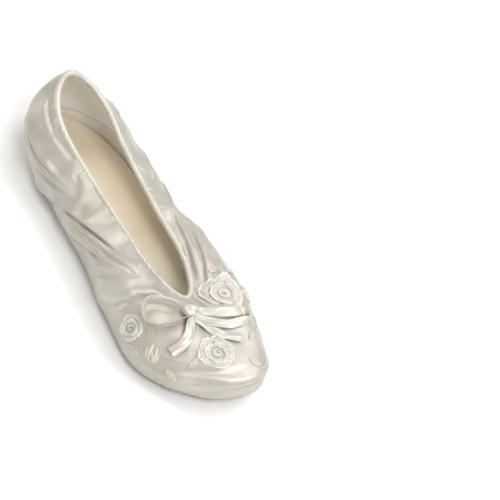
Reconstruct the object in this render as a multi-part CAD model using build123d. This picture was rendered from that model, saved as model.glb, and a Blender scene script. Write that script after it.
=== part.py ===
"""Satin ballet slipper with a ribbon bow and raised thread roses, for the right foot.

Frame: +Z up, the sole rests on Z = 0, the toe points to -Y and the big toe is on the +X side.
The upper is described by cross-sections. Station u runs once round the sole's edge, from 0 at
the back of the heel, along the +X side, to 0.5 at the toe, and back to 1 at the heel. Place t
runs up each cross-section, from 0 at the sole's edge to 1 at the edge of the foot opening.
Every layer of the upper is that surface, moved inwards by its own depth.
"""
from build123d import *
import math
import os
import numpy as np
from scipy.interpolate import CubicSpline, PchipInterpolator

# --- sole outline: half widths at fractions of the length -------------------------------
SOLE_LENGTH = 238.0
HEEL_WIDTH = 50.0
WAIST_WIDTH = 60.0
BALL_WIDTH = 75.0
TOE_WIDTH = 64.0
TOE_TIP_OFFSET = 12.0  # the tip lies on the big-toe side

# --- foot opening, measured at the cut edge of the upper ---------------------------------
OPENING_BACK = 15.0  # distance of its back end from the heel
OPENING_FRONT = 181.5  # distance of its throat from the heel
OPENING_HALF_WIDTHS = (14.8, 16.8, 14.8, 12.8, 10.3)
OPENING_PLACES = (0.09, 0.26, 0.48, 0.70, 0.88)  # where along the opening each one lies
RIM_HEIGHTS = (55.0, 36.0, 32.0, 30.0, 27.0)
RIM_HEIGHT_PLACES = (0.0, 0.30, 0.55, 0.80, 1.0)

# --- cross-section handles at the heel, side, ball and toe -------------------------------
HANDLE_PLACES = (0.0, 0.35, 0.72, 1.0)
FOOT_HANDLE_OUT = (14.0, 9.0, 9.0, 15.0)
FOOT_HANDLE_UP = (14.0, 20.0, 19.0, 32.0)
RIM_HANDLE_OUT = (12.0, 13.0, 20.0, 50.0)
RIM_HANDLE_UP = (-10.0, -6.0, 10.0, 6.0)

# --- layers of the upper: depth of the outer and inner face ------------------------------
SATIN = (0.0, 0.6)
INTERLAYER = (0.72, 0.88)  # stitched backing on the vamp, seam tape at the heel
LINING = (1.0, 1.6)
HEEL_GRIP = (1.65, 2.25)
RIM_MIDDLE = 0.8  # depth of the middle of satin and lining together
TURNED_MARGIN = 7.0  # width of the upper turned in under the insole
BACK_SEAM_GAP = 0.2

# --- sole, from the floor up -------------------------------------------------------------
OUTSOLE_TOP = 2.2
FEATHER_HEIGHT = 2.3  # height at which the upper meets the outsole
MARGIN_TOP = 4.0
BOARD_TOP = 5.2
FOAM_TOP = 8.3
COVER_TOP = 9.0
FACE_GAP = 0.05

# --- binding round the opening and the elastic inside it ---------------------------------
BINDING_THICKNESS = 0.4
CHANNEL_RADIUS = 0.9
CHANNEL_RISE = 0.85  # from the cut edge of the upper to the middle of the elastic
BINDING_LEG = 1.2  # how far the binding reaches down over the upper
ELASTIC_RADIUS = 0.75

# --- bow ---------------------------------------------------------------------------------
RIBBON_WIDTH = 6.0
RIBBON_THICKNESS = 0.35
KNOT_RADIUS = 2.6
KNOT_LIFT = 2.95

STATIONS = 56
PLACES = (0.0, 0.08, 0.2, 0.34, 0.5, 0.66, 0.8, 0.92, 1.0)


def closed_curve(points):
    """A smooth closed curve through (x, s) points, as a function of its arc fraction."""
    ring = np.array(points + points[:1], float)
    chord = np.sqrt(np.linalg.norm(np.diff(ring, axis=0), axis=1))
    knots = np.concatenate(([0.0], np.cumsum(chord)))
    fine = CubicSpline(knots, ring, bc_type="periodic")(np.linspace(0.0, knots[-1], 4001))
    arc = np.concatenate(([0.0], np.cumsum(np.linalg.norm(np.diff(fine, axis=0), axis=1))))
    arc /= arc[-1]
    return lambda part: np.array([np.interp(part % 1.0, arc, fine[:, k]) for k in (0, 1)])


def sole_curve():
    """The sole's edge, as (x, distance from the heel)."""
    side = [(HEEL_WIDTH, 0.13), (WAIST_WIDTH, 0.40), (BALL_WIDTH, 0.71), (TOE_WIDTH, 0.89)]
    right = [(width / 2, part * SOLE_LENGTH) for width, part in side]
    left = [(-x, s) for x, s in reversed(right)]
    return closed_curve([(0.0, 0.0)] + right + [(TOE_TIP_OFFSET, SOLE_LENGTH)] + left)


def opening_curve():
    """The cut edge of the upper round the foot, seen from above."""
    span = OPENING_FRONT - OPENING_BACK
    right = [(x, OPENING_BACK + part * span) for x, part in zip(OPENING_HALF_WIDTHS, OPENING_PLACES)]
    left = [(-x, s) for x, s in reversed(right)]
    return closed_curve([(0.0, OPENING_BACK)] + right + [(0.0, OPENING_FRONT)] + left)


SOLE = sole_curve()
OPENING = opening_curve()
RIM_Z = PchipInterpolator(
    [OPENING_BACK + p * (OPENING_FRONT - OPENING_BACK) for p in RIM_HEIGHT_PLACES], RIM_HEIGHTS
)
# share of the sole's half outline that faces each share of the opening's half outline
SOLE_TO_OPENING = PchipInterpolator((0, 0.16, 0.64, 0.8, 1), (0, 0.15, 0.80, 0.93, 1))
HANDLES = [
    PchipInterpolator(HANDLE_PLACES, values)
    for values in (FOOT_HANDLE_OUT, FOOT_HANDLE_UP, RIM_HANDLE_OUT, RIM_HANDLE_UP)
]


class Section:
    """One upright cross-section of the upper: a cubic curve in the plane (outward, up)."""

    def __init__(self, u):
        half = 2 * (u % 1.0)
        near = half if half <= 1 else 2 - half
        share = float(SOLE_TO_OPENING(near))
        self.foot = SOLE(u)
        rim = OPENING(share / 2 if half <= 1 else 1 - share / 2)
        run = self.foot - rim
        width = float(np.linalg.norm(run))
        self.out = run / width
        foot_out, foot_up, rim_out, rim_up = (float(h(near)) for h in HANDLES)
        rim_z = float(RIM_Z(np.clip(rim[1], OPENING_BACK, OPENING_FRONT))) - FEATHER_HEIGHT
        self.poles = np.array(
            [(0, 0), (foot_out, foot_up), (rim_out - width, rim_z + rim_up), (-width, rim_z)]
        )

    def flat_point(self, t, depth=0.0):
        """The point at place t, depth below the outer face, as (outward, up)."""
        a, b, c, d = self.poles
        point = (1 - t) ** 3 * a + 3 * (1 - t) ** 2 * t * b + 3 * (1 - t) * t**2 * c + t**3 * d
        inward = self.inward(t)
        if t == 0.0:  # at the sole's edge the layer turns in, so its corner is mitred
            corner = inward + np.array([0.0, 1.0])
            return point + depth * corner / (1 + inward[1])
        return point + depth * inward

    def tangent(self, t):
        """The unit direction towards the opening."""
        a, b, c, d = self.poles
        slope = (1 - t) ** 2 * (b - a) + 2 * (1 - t) * t * (c - b) + t**2 * (d - c)
        return slope / np.linalg.norm(slope)

    def inward(self, t):
        """The unit direction into the shoe, square to the curve."""
        out, up = self.tangent(t)
        return np.array([-up, out])

    def space(self, flat):
        """An (outward, up) point as a point in the frame."""
        x, s = self.foot + flat[0] * self.out
        return Vector(x - CENTRE_X, CENTRE_S - s, FEATHER_HEIGHT + flat[1])


def bulge_centre():
    """The middle of the upper's box, which is the frame's origin, as (x, s)."""
    reach = []
    for u in np.arange(0.0, 1.0, 1 / 360):
        section = Section(u)
        for t in PLACES:
            reach.append(section.foot + section.flat_point(t)[0] * section.out)
    reach = np.array(reach)
    return (reach.max(axis=0) + reach.min(axis=0)) / 2


CENTRE_X, CENTRE_S = bulge_centre()


def surface(u, t, depth=0.0):
    """A point of the upper in the frame."""
    section = Section(u)
    return section.space(section.flat_point(t, depth))


def surface_plane(u, t, lift=0.0, turn=0.0):
    """A plane on the upper's outer face: +Z outwards, +X along the sole's edge, then turned."""
    step = 1e-3
    along = surface(u + step, t) - surface(u - step, t)
    upward = surface(u, t + step) - surface(u, t - step)
    outward = upward.cross(along).normalized()
    along = along.normalized()
    angle = math.radians(turn)
    x_dir = along * math.cos(angle) + outward.cross(along) * math.sin(angle)
    return Plane(origin=surface(u, t) + outward * lift, x_dir=x_dir, z_dir=outward)


def spline_edge(points):
    """A curve through the points, with the same knots in every cross-section."""
    return Edge.make_spline(points, parameters=[float(t) for t in PLACES])


def section_wire(u, depths, low=0.0, high=1.0, turned_in=0.0):
    """The closed outline of one layer at station u."""
    section = Section(u)
    outer, inner = [
        [section.space(section.flat_point(low + (high - low) * t, depth)) for t in PLACES]
        for depth in depths
    ]
    edges = [
        spline_edge(outer),
        Edge.make_line(outer[-1], inner[-1]),
        spline_edge(inner),
    ]
    if turned_in:
        ends = [section.space((-turned_in, depth)) for depth in depths]
        edges += [
            Edge.make_line(inner[0], ends[1]),
            Edge.make_line(ends[1], ends[0]),
            Edge.make_line(ends[0], outer[0]),
        ]
    else:
        edges.append(Edge.make_line(inner[0], outer[0]))
    return Wire(edges)


def seam_stations():
    """The stations of a piece whose ends meet at the back seam."""
    perimeter = 2 * SOLE_LENGTH + BALL_WIDTH
    edge = BACK_SEAM_GAP / 2 / perimeter
    return np.linspace(edge, 1 - edge, STATIONS)


def layer(depths, stations, **limits):
    """One layer of the upper through the stations."""
    return Solid.make_loft([section_wire(u, depths, **limits) for u in stations])


def wall_layer(depths):
    """A full wall of the upper, sewn at the back seam and turned in under the insole."""
    return layer(depths, seam_stations(), turned_in=TURNED_MARGIN)


def vamp_backing():
    """Stabiliser behind the thread roses, between the satin and the lining."""
    stations = [u for u in seam_stations() if 0.34 < u < 0.66]
    return layer(INTERLAYER, stations, low=0.24, high=0.9)


def back_seam_tape():
    """Tape along the inside of the back seam."""
    return layer(INTERLAYER, np.linspace(-0.006, 0.006, 5), low=0.08, high=0.95)


def heel_grip():
    """Soft patch inside the heel."""
    return layer(HEEL_GRIP, np.linspace(-0.085, 0.085, 15), low=0.30, high=0.93)


def inset_outline(inset):
    """The sole's edge moved inwards by inset, as a closed wire at Z = 0."""
    points = []
    for u in np.arange(0.0, 1.0, 1 / 48):
        along = SOLE(u + 1e-3) - SOLE(u - 1e-3)
        along /= np.linalg.norm(along)
        x, s = SOLE(u) + inset * np.array([-along[1], along[0]])
        points.append(Vector(x - CENTRE_X, CENTRE_S - s, 0))
    return Wire([Edge.make_spline(points, periodic=True)])


def sole_slab(inset, bottom, top):
    """A flat piece of the sole."""
    face = Face(inset_outline(inset))
    return Pos(0, 0, bottom) * Solid.extrude(face, Vector(0, 0, top - bottom))


def outsole():
    """Suede outsole with a stitching channel cut into its underside."""
    slab = sole_slab(1.8, 0.0, OUTSOLE_TOP)
    channel = sole_slab(4.3, -1.0, 0.8) - sole_slab(5.7, -2.0, 2.0)
    return (slab - channel).solid()


def outsole_stitches(count=60):
    """Lock stitches that lie in the outsole's channel."""
    stitches = []
    for index in range(count):
        u = (index + 0.5) / count
        along = SOLE(u + 1e-3) - SOLE(u - 1e-3)
        along /= np.linalg.norm(along)
        x, s = SOLE(u) + 5.0 * np.array([-along[1], along[0]])
        place = Plane((x - CENTRE_X, CENTRE_S - s, 0.42), z_dir=(along[0], -along[1], 0))
        stitches.append(place * Box(0.6, 0.6, 4.4))
    return Compound([stitch.solid() for stitch in stitches])


def rim_point(u, across, rise):
    """A point near the cut edge: across is outwards, rise is past the edge."""
    section = Section(u)
    flat = section.flat_point(1.0, RIM_MIDDLE)
    flat = flat - across * section.inward(1.0) + rise * section.tangent(1.0)
    return section.space(flat)


def binding_wire(u):
    """The folded strip in cross-section: two legs joined by an arc over the elastic."""
    radii = (CHANNEL_RADIUS, CHANNEL_RADIUS + BINDING_THICKNESS)
    edges = []
    for radius in radii:
        left, top, right = [
            rim_point(u, side * radius, CHANNEL_RISE + lift * radius)
            for side, lift in ((-1, 0), (0, 1), (1, 0))
        ]
        edges.append(Edge.make_line(rim_point(u, -radius, -BINDING_LEG), left))
        edges.append(Edge.make_three_point_arc(left, top, right))
        edges.append(Edge.make_line(right, rim_point(u, radius, -BINDING_LEG)))
    for side in (-1, 1):
        inner, outer = [rim_point(u, side * radius, -BINDING_LEG) for radius in radii]
        edges.append(Edge.make_line(inner, outer))
    return Wire(edges)


def topline_binding():
    """Satin strip folded over the cut edge, its ends meeting at the back seam."""
    return Solid.make_loft([binding_wire(u) for u in seam_stations()])


def elastic_wire(u, corners=8):
    """The elastic's cross-section, an eight-sided stand-in for a circle."""
    points = []
    for corner in range(corners):
        angle = 2 * math.pi * corner / corners
        across = ELASTIC_RADIUS * math.cos(angle)
        points.append(rim_point(u, across, CHANNEL_RISE + ELASTIC_RADIUS * math.sin(angle)))
    return Wire.make_polygon(points, close=True)


def topline_elastic():
    """Elastic cord in the binding's channel, its ends joined under the bow."""
    return Solid.make_loft([elastic_wire(u) for u in np.linspace(0.503, 1.497, STATIONS)])


def binding_stitches(count=36):
    """Running stitches that hold the binding's outer leg down."""
    stitches = []
    for index in range(count):
        u = (index + 0.5) / count
        middle = rim_point(u, CHANNEL_RADIUS + BINDING_THICKNESS + 0.22, -BINDING_LEG + 0.5)
        along = rim_point(u + 1e-3, 0, 0) - rim_point(u - 1e-3, 0, 0)
        stitches.append(Plane(middle, z_dir=along) * Box(0.3, 0.3, 1.8))
    return Compound([stitch.solid() for stitch in stitches])


def bow_plane(lift=0.0):
    """A level plane over the knot's middle: +X to the wearer's left, +Y towards the heel."""
    middle = surface_plane(*BOW_SEAT, lift=KNOT_LIFT).origin
    return Plane((middle.X, middle.Y, middle.Z + lift))


def bow_knot():
    """The tight centre of the bow."""
    return (bow_plane() * Sphere(KNOT_RADIUS)).solid()


def bow_tack_thread():
    """Two short threads that tie the knot down to the vamp."""
    seat = surface_plane(*BOW_SEAT, lift=0.18)
    threads = [seat * Pos(side * 0.9, 0, 0) * Cylinder(0.18, 0.2) for side in (-1, 1)]
    return Compound([thread.solid() for thread in threads])


def bow_loop(side, length, height, turn, tilt, lift):
    """An open teardrop of ribbon that starts at the knot."""
    plane = bow_plane(lift).rotated((tilt, 0, turn))
    start = side * (KNOT_RADIUS + 0.3)
    end = side * length
    outlines = []
    for inset in (0.0, RIBBON_THICKNESS):
        points = [
            (start + side * inset * 3, 0.0),
            (side * length * 0.45, height * 0.38 - inset),
            (side * length * 0.82, height * 0.5 - inset),
            (end - side * inset, 0.0),
            (side * length * 0.82, -height * 0.5 + inset),
            (side * length * 0.45, -height * 0.38 + inset),
        ]
        top = Edge.make_spline([Vector(x, y) for x, y in points[:4]])
        bottom = Edge.make_spline([Vector(x, y) for x, y in points[3:] + points[:1]])
        outlines.append(Face(Wire([top, bottom])))
    outer, inner = [Solid.extrude(face, Vector(0, 0, RIBBON_WIDTH * 0.8)) for face in outlines]
    return (plane * (outer - inner)).solid()


def bow_tail(places, width):
    """A free ribbon end that lies over the vamp through (u, t, lift) places."""
    wires = []
    for index, (u, t, lift) in enumerate(places):
        here = surface_plane(u, t).origin
        before, after = [
            surface_plane(*places[k][:2]).origin
            for k in (max(index - 1, 0), min(index + 1, len(places) - 1))
        ]
        plane = surface_plane(u, t)
        forward = (after - before).normalized()
        across = plane.z_dir.cross(forward).normalized()
        centre = here + plane.z_dir * lift
        corners = []
        for side, face in ((-1, 0), (1, 0), (1, 1), (-1, 1)):
            corners.append(centre + across * side * width / 2 + plane.z_dir * face * RIBBON_THICKNESS)
        wires.append(Wire.make_polygon(corners, close=True))
    return Solid.make_loft(wires)


def thread_rose(u, t, radius, lift):
    """A raised thread rose: a low pad with three rolled rings of petals."""
    ring = 0.13 * radius
    profile = Rectangle(radius, 0.9, align=(Align.MIN, Align.CENTER))
    for share in (0.2, 0.55, 0.87):
        profile += Pos(share * radius, 0.45) * Circle(ring)
    rose = revolve(Plane.XZ * profile, axis=Axis.Z)
    return (surface_plane(u, t, lift=lift) * rose).solid()


def leaf(u, t, turn, length):
    """A pointed leaf of satin stitch."""
    width = 0.45 * length
    radius = (length**2 + width**2) / (4 * width)
    offset = radius - width / 2
    shape = (Pos(0, offset) * Circle(radius)) & (Pos(0, -offset) * Circle(radius))
    solid = extrude(shape, amount=0.45, both=True)
    return (surface_plane(u, t, lift=0.5, turn=turn) * solid).solid()


def stem(places):
    """A curled thread stem through three (u, t) places on the vamp."""
    points = [surface_plane(u, t, lift=0.6).origin for u, t in places]
    path = Edge.make_three_point_arc(*points)
    start = Plane(path @ 0, z_dir=path % 0)
    return Solid.sweep(Face(Wire.make_circle(0.45, start)), path=path)


BOW_SEAT = (0.537, 0.87)
# rose: (u, t, radius, lift of its pad's middle off the satin)
ROSES = {
    "rose_right_of_bow": (0.404, 0.75, 11.0, 1.8),
    "rose_front": (0.517, 0.59, 10.2, 1.15),
    "rose_left": (0.625, 0.38, 7.0, 0.65),
    "rosebud_lower_left": (0.589, 0.29, 5.0, 0.55),
    "rosebud_right_side": (0.378, 0.42, 4.5, 0.55),
}
# leaf: (u, t, turn in degrees, length)
LEAVES = (
    (0.613, 0.225, 0, 8.0),
    (0.652, 0.42, 100, 8.0),
    (0.600, 0.50, 25, 8.0),
    (0.566, 0.22, 20, 8.5),
    (0.546, 0.42, 110, 8.0),
    (0.478, 0.44, 60, 8.0),
    (0.455, 0.55, 10, 8.0),
    (0.352, 0.56, 80, 8.0),
    (0.425, 0.52, 0, 8.0),
    (0.362, 0.76, 60, 8.0),
    (0.405, 0.36, 30, 8.0),
)
STEMS = (
    ((0.611, 0.285), (0.603, 0.258), (0.599, 0.205)),
    ((0.584, 0.18), (0.577, 0.16), (0.571, 0.17)),
    ((0.555, 0.20), (0.540, 0.21), (0.530, 0.28)),
    ((0.478, 0.36), (0.465, 0.33), (0.452, 0.38)),
    ((0.438, 0.50), (0.430, 0.44), (0.418, 0.42)),
)
TAIL_LEFT = ((0.543, 0.80, 0.6), (0.549, 0.70, 0.5), (0.557, 0.58, 0.5), (0.568, 0.46, 0.5))
TAIL_RIGHT = ((0.524, 0.84, 0.6), (0.508, 0.82, 0.5), (0.491, 0.79, 0.5), (0.475, 0.75, 0.5))


def build_parts():
    """Every piece of the slipper, by node name."""
    parts = {
        "outsole": outsole(),
        "outsole_stitches": outsole_stitches(),
        "bottom_filler": sole_slab(7.4, OUTSOLE_TOP + FACE_GAP, MARGIN_TOP - FACE_GAP),
        "insole_board": sole_slab(2.4, MARGIN_TOP, BOARD_TOP),
        "insole_foam": sole_slab(2.2, BOARD_TOP + FACE_GAP, FOAM_TOP - FACE_GAP),
        "insole_cover": sole_slab(2.0, FOAM_TOP, COVER_TOP),
        "satin_upper": wall_layer(SATIN),
        "vamp_backing": vamp_backing(),
        "upper_lining": wall_layer(LINING),
        "back_seam_tape": back_seam_tape(),
        "heel_grip": heel_grip(),
        "topline_binding": topline_binding(),
        "topline_elastic": topline_elastic(),
        "binding_stitches": binding_stitches(),
        "bow_knot": bow_knot(),
        "bow_tack_thread": bow_tack_thread(),
        "bow_loop_left": bow_loop(-1, 27.0, 13.0, -8, 25, 1.5),
        "bow_loop_right": bow_loop(1, 30.0, 7.0, -6, 40, 4.0),
        "bow_tail_left": bow_tail(TAIL_LEFT, RIBBON_WIDTH),
        "bow_tail_right": bow_tail(TAIL_RIGHT, RIBBON_WIDTH),
        "embroidered_leaves": Compound([leaf(*place) for place in LEAVES]),
        "embroidered_stems": Compound([stem(places) for places in STEMS]),
    }
    for name, place in ROSES.items():
        parts[name] = thread_rose(*place)
    return parts


def main():
    os.makedirs("parts", exist_ok=True)
    for name, shape in build_parts().items():
        export_step(shape, f"parts/{name}.step")


main()
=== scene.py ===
"""Looks of the satin ballet slipper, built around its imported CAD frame."""
import math

import bpy
import numpy as np
from mathutils import Euler, Matrix, Vector


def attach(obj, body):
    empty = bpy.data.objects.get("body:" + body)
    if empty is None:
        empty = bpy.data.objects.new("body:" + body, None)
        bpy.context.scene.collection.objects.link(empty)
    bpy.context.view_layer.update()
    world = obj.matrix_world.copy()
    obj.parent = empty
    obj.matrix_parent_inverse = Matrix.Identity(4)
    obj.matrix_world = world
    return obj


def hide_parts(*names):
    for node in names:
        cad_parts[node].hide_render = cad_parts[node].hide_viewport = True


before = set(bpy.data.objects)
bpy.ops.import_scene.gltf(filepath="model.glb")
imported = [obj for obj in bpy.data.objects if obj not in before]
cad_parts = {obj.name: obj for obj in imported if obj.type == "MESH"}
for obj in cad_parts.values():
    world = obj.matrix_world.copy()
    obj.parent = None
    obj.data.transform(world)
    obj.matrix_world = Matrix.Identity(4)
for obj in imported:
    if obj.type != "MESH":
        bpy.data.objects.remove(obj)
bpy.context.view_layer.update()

MM = 0.001
TURN = 2 * math.pi

# ---- shape of the upper, in mm
# The same driving sizes as the CAD part. Station u runs round the sole's edge from the heel,
# along +X to the toe at 0.5 and back. Place t runs from the sole's edge up to the opening.
SOLE_LENGTH = 238.0
SOLE_WIDTHS = ((50.0, 0.13), (60.0, 0.4), (75.0, 0.71), (64.0, 0.89))
TOE_TIP_OFFSET = 12.0
OPENING_BACK = 15.0
OPENING_FRONT = 181.5
OPENING_HALF_WIDTHS = (14.8, 16.8, 14.8, 12.8, 10.3)
OPENING_PLACES = (0.09, 0.26, 0.48, 0.7, 0.88)
RIM_HEIGHTS = (55.0, 36.0, 32.0, 30.0, 27.0)
RIM_HEIGHT_PLACES = (0.0, 0.3, 0.55, 0.8, 1.0)
HANDLE_PLACES = (0.0, 0.35, 0.72, 1.0)
HANDLES = (
    (14.0, 9.0, 9.0, 15.0),
    (14.0, 20.0, 19.0, 32.0),
    (12.0, 13.0, 20.0, 50.0),
    (-10.0, -6.0, 10.0, 6.0),
)
TOE_ROUNDING = 0.06
FEATHER_HEIGHT = 2.3
SATIN_THICKNESS = 0.6
LINING_DEPTH = 1.2
CUT_EDGE_DEPTH = 0.8  # of the middle of the upper's layers
COVER_TOP = 9.0


def unit(vectors):
    """The same directions with length 1."""
    return vectors / np.linalg.norm(vectors, axis=-1, keepdims=True)


def run_along(points):
    """How far along a chain of points each one lies."""
    return np.concatenate(([0.0], np.cumsum(np.linalg.norm(np.diff(points, axis=0), axis=1))))


def catmull_rom(rows, place, wrap=False):
    """Values at fractional places between the rows, on a smooth curve through them."""
    k = np.floor(place).astype(int)
    f = (place - k)[:, None]
    last = len(rows)
    a, b, c, d = (rows[(k + n) % last if wrap else np.clip(k + n, 0, last - 1)] for n in (-1, 0, 1, 2))
    return 0.5 * (
        2 * b + (c - a) * f + (2 * a - 5 * b + 4 * c - d) * f**2 + (3 * b - a - 3 * c + d) * f**3
    )


def add_object(name, data):
    """A new object in the scene."""
    thing = bpy.data.objects.new(name, data)
    bpy.context.scene.collection.objects.link(thing)
    return thing


def round_grid(nu, nt, low=0.0, high=1.0):
    """Stations all the way round and places from low to high, as two grids."""
    return np.meshgrid(np.arange(nu) / nu, np.linspace(low, high, nt), indexing="ij")


def monotone(places, values):
    """A smooth curve through the points that never overshoots them."""
    x, y = np.array(places, float), np.array(values, float)
    h, d = np.diff(x), np.diff(y) / np.diff(x)
    slope = np.zeros(len(x))
    for k in range(1, len(x) - 1):
        if d[k - 1] * d[k] > 0:
            w1, w2 = 2 * h[k] + h[k - 1], h[k] + 2 * h[k - 1]
            slope[k] = (w1 + w2) / (w1 / d[k - 1] + w2 / d[k])
    for end, a, b in ((0, 0, 1), (-1, -1, -2)):
        s = ((2 * h[a] + h[b]) * d[a] - h[a] * d[b]) / (h[a] + h[b])
        slope[end] = s if s * d[a] > 0 else 0.0

    def value(q):
        """The curve's height at q."""
        q = np.clip(q, x[0], x[-1])
        k = np.clip(np.searchsorted(x, q, side="right") - 1, 0, len(h) - 1)
        p = (q - x[k]) / h[k]
        rise = y[k] * (1 + 2 * p) * (1 - p) ** 2 + y[k + 1] * p * p * (3 - 2 * p)
        return rise + h[k] * (slope[k] * p * (1 - p) ** 2 - slope[k + 1] * p * p * (1 - p))

    return value


def closed_curve(points):
    """A smooth closed curve through (x, s) points, as a function of its arc fraction."""
    y = np.array(points + points[:1], float)
    chord = np.sqrt(np.linalg.norm(np.diff(y, axis=0), axis=1))
    x = np.concatenate(([0.0], np.cumsum(chord)))
    n, h, d = len(chord), chord, np.diff(y, axis=0) / chord[:, None]
    matrix, right = np.zeros((n, n)), np.zeros((n, 2))
    for k in range(n):
        matrix[k, k - 1] += h[k - 1]
        matrix[k, k] += 2 * (h[k - 1] + h[k])
        matrix[k, (k + 1) % n] += h[k]
        right[k] = 6 * (d[k] - d[k - 1])
    bend = np.linalg.solve(matrix, right)
    bend = np.vstack([bend, bend[:1]])
    q = np.linspace(0.0, x[-1], 4001)
    k = np.clip(np.searchsorted(x, q, side="right") - 1, 0, n - 1)
    a, b, w = (x[k + 1] - q)[:, None], (q - x[k])[:, None], h[k][:, None]
    fine = (bend[k] * a**3 + bend[k + 1] * b**3) / (6 * w)
    fine += (y[k] / w - bend[k] * w / 6) * a + (y[k + 1] / w - bend[k + 1] * w / 6) * b
    arc = run_along(fine)
    arc /= arc[-1]
    return lambda part: np.stack([np.interp(part % 1.0, arc, fine[:, k]) for k in (0, 1)], axis=-1)


def mirrored(start, side, end):
    """A closed curve from the points of one side."""
    return closed_curve([start] + side + [end] + [(-x, s) for x, s in reversed(side)])


OPENING_SPAN = OPENING_FRONT - OPENING_BACK
SOLE = mirrored(
    (0.0, 0.0), [(w / 2, p * SOLE_LENGTH) for w, p in SOLE_WIDTHS], (TOE_TIP_OFFSET, SOLE_LENGTH)
)
OPENING = mirrored(
    (0.0, OPENING_BACK),
    [(x, OPENING_BACK + p * OPENING_SPAN) for x, p in zip(OPENING_HALF_WIDTHS, OPENING_PLACES)],
    (0.0, OPENING_FRONT),
)
RIM_Z = monotone([OPENING_BACK + p * OPENING_SPAN for p in RIM_HEIGHT_PLACES], RIM_HEIGHTS)
SOLE_TO_OPENING = monotone((0, 0.16, 0.64, 0.8, 1), (0, 0.15, 0.8, 0.93, 1))
HANDLE_CURVES = [monotone(HANDLE_PLACES, values) for values in HANDLES]


def sections(u):
    """Foot points, outward directions and curve poles of the cross-sections at stations u."""
    half = 2 * (u % 1.0)
    near = np.where(half <= 1, half, 2 - half)
    share = SOLE_TO_OPENING(near)
    foot = SOLE(u)
    rim = OPENING(np.where(half <= 1, share / 2, 1 - share / 2))
    run = foot - rim
    width = np.linalg.norm(run, axis=-1)
    gap = 1 - near
    rounded = 1 - gap * (1 - np.exp(-((gap / TOE_ROUNDING) ** 2)))  # no ridge down the toe
    foot_out, foot_up, rim_out, rim_up = (curve(rounded) for curve in HANDLE_CURVES)
    rim_z = RIM_Z(rim[..., 1]) - FEATHER_HEIGHT
    zero = np.zeros_like(width)
    outward = np.stack([zero, foot_out, rim_out - width, -width], -1)
    upward = np.stack([zero, foot_up, rim_z + rim_up, rim_z], -1)
    poles = np.stack([outward, upward], -1)
    return foot, run / width[..., None], poles


def flat_points(poles, t):
    """Points, tangents and inward directions along the curves, in (outward, up)."""
    a, b, c, d = (poles[..., k, :] for k in range(4))
    t = t[..., None]
    point = (1 - t) ** 3 * a + 3 * (1 - t) ** 2 * t * b + 3 * (1 - t) * t**2 * c + t**3 * d
    slope = unit((1 - t) ** 2 * (b - a) + 2 * (1 - t) * t * (c - b) + t**2 * (d - c))
    inward = np.stack([-slope[..., 1], slope[..., 0]], -1)
    return point, slope, inward


def to_frame(foot, out, flat):
    """(outward, up) points as points in the frame, in metres."""
    spot = foot + flat[..., :1] * out
    return MM * np.stack(
        [spot[..., 0] - CENTRE[0], CENTRE[1] - spot[..., 1], FEATHER_HEIGHT + flat[..., 1]], -1
    )


def find_centre():
    """The middle of the upper seen from above, which is the frame's origin, as (x, s)."""
    u, t = np.meshgrid(np.arange(360) / 360, (0.0, 0.08, 0.2, 0.34, 0.5, 0.66, 0.8), indexing="ij")
    foot, out, poles = sections(u)
    reach = (foot + flat_points(poles, t)[0][..., :1] * out).reshape(-1, 2)
    return (reach.max(axis=0) + reach.min(axis=0)) / 2


CENTRE = find_centre()


def upper_points(u, t, depth=0.0):
    """Points of the upper at stations u and places t, depth mm below its outer face."""
    foot, out, poles = sections(u)
    point, _, inward = flat_points(poles, t)
    return to_frame(foot, out, point + depth * inward)


def rim_points(u, across, rise):
    """Points near the cut edge: across is outwards and rise is past the edge, in mm."""
    foot, out, poles = sections(u)
    point, slope, inward = flat_points(poles, np.ones_like(u))
    flat = point + (CUT_EDGE_DEPTH - across)[..., None] * inward + rise[..., None] * slope
    return to_frame(foot, out, flat)


def grid_normals(points, closed):
    """Outward unit normals of a (u, t) grid of points."""
    if closed:
        along = np.roll(points, -1, axis=0) - np.roll(points, 1, axis=0)
    else:
        along = np.gradient(points, axis=0)
    upward = np.gradient(points, axis=1)
    normal = np.cross(upward, along)
    return normal / np.maximum(np.linalg.norm(normal, axis=-1, keepdims=True), 1e-12)


def grid_faces(nu, nt, closed, flip=False, start=0):
    """Quads of a (u, t) grid of vertices."""
    faces = []
    for i in range(nu if closed else nu - 1):
        for j in range(nt - 1):
            a, b = start + i * nt + j, start + (i + 1) % nu * nt + j
            quad = (a, a + 1, b + 1, b)
            faces.append(quad[::-1] if flip else quad)
    return faces


# ---- folds of the satin
FEATHER_LENGTH = 620.0  # once round the sole's edge
RIM_LENGTH = 350.0
WALL_LENGTH = 60.0  # from the sole's edge up to the opening
GRID_U, GRID_T = 900, 150


def smooth(low, high, value):
    """0 below low, 1 above high, eased between."""
    part = np.clip((value - low) / (high - low), 0.0, 1.0)
    return part * part * (3 - 2 * part)


def station_gap(u, middle):
    """Signed distance in stations, the short way round."""
    return (u - middle + 0.5) % 1.0 - 0.5


def girth(t):
    """Length once round the upper at place t, in mm."""
    return FEATHER_LENGTH + (RIM_LENGTH - FEATHER_LENGTH) * t


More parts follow.
